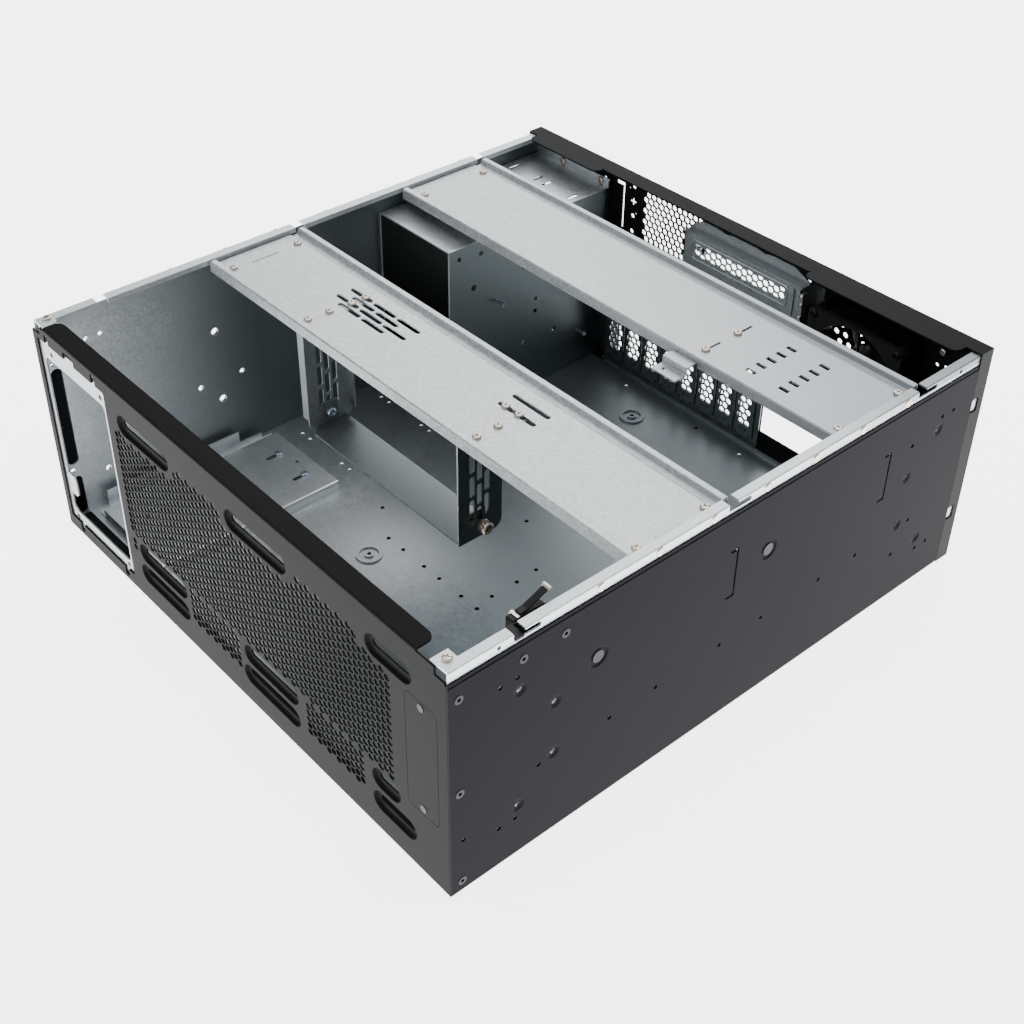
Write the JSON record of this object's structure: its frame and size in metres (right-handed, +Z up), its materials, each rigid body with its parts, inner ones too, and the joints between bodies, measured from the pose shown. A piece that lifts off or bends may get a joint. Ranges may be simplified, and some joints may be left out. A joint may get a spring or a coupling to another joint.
{
  "type": "rackmount server case",
  "caption": "Open rackmount server case: painted shell, perforated front, galvanised walls and floor, top braces, power supply cage, slotted rear and a fan.",
  "frame": {"origin": "middle of the bottom, under the centre of the bounding box", "axes": "+Z up, -Y out of the perforated front, +Y towards the rear panel, +X to the right seen from the front"},
  "size_m": [0.4406, 0.4603, 0.1799],
  "materials": {
    "shell_paint": "satin powder coat",
    "front_paint": "satin powder coat",
    "galvanised": "galvanised, spangled",
    "nickel": "bright plated",
    "zinc": "blue zinc plated",
    "dark_fastener": "black oxide",
    "black_plastic": "moulded"
  },
  "bodies": {
    "chassis": {"brace_front": "galvanised", "brace_rear": "galvanised", "brace_screws": "nickel", "brace_seats": "galvanised", "card_stay": "galvanised", "corner_screws": "nickel", "drive_tray": "galvanised", "fan_frame": "black_plastic", "fan_screws": "dark_fastener", "floor_plate": "galvanised", "front_bay_frame": "galvanised", "front_blank_plate": "front_paint", "front_plate": "front_paint", "front_plate_rivets": "dark_fastener", "hanger_left": "galvanised", "hanger_right": "galvanised", "io_pan": "shell_paint", "outer_shell": "shell_paint", "psu_cage": "galvanised", "psu_cage_pins": "zinc", "psu_screws": "nickel", "rail_rivets": "nickel", "rear_panel": "shell_paint", "rear_screw": "nickel", "riser_bracket": "galvanised", "riser_cover": "galvanised", "shell_rivets": "dark_fastener", "shell_screws": "dark_fastener", "side_wall_left": "galvanised", "side_wall_right": "galvanised", "slot_cover_1": "galvanised", "slot_cover_2": "galvanised", "slot_cover_3": "galvanised", "slot_cover_4": "galvanised", "slot_cover_5": "galvanised", "slot_cover_6": "galvanised", "slot_cover_7": "galvanised", "slot_cover_8": "galvanised", "slot_frame": "galvanised", "switch_body": "black_plastic", "switch_bracket": "dark_fastener", "switch_strip": "nickel", "tray_screws": "zinc"},
    "rotor": {"fan_rotor": "black_plastic"},
    "shelf": {"cage_shelf": "galvanised", "shelf_screw": "zinc", "shelf_thumbscrew": "nickel"},
    "lever": {"switch_lever": "black_plastic", "switch_roller": "nickel"}
  },
  "joints": [
    {"name": "rotor_spin", "type": "hinge", "parent": "chassis", "child": "rotor", "pos_m": [0.1297, 0.2166, 0.118], "axis": [0, 1, 0], "continuous": true},
    {"name": "shelf_slide", "type": "slide", "parent": "chassis", "child": "shelf", "axis": [0, 0, 1], "range_m": [0, 0.01]},
    {"name": "lever_press", "type": "hinge", "parent": "chassis", "child": "lever", "pos_m": [0.2057, -0.17, 0.1722], "axis": [1, 0, 0], "range_deg": [-12, 0]}
  ]
}
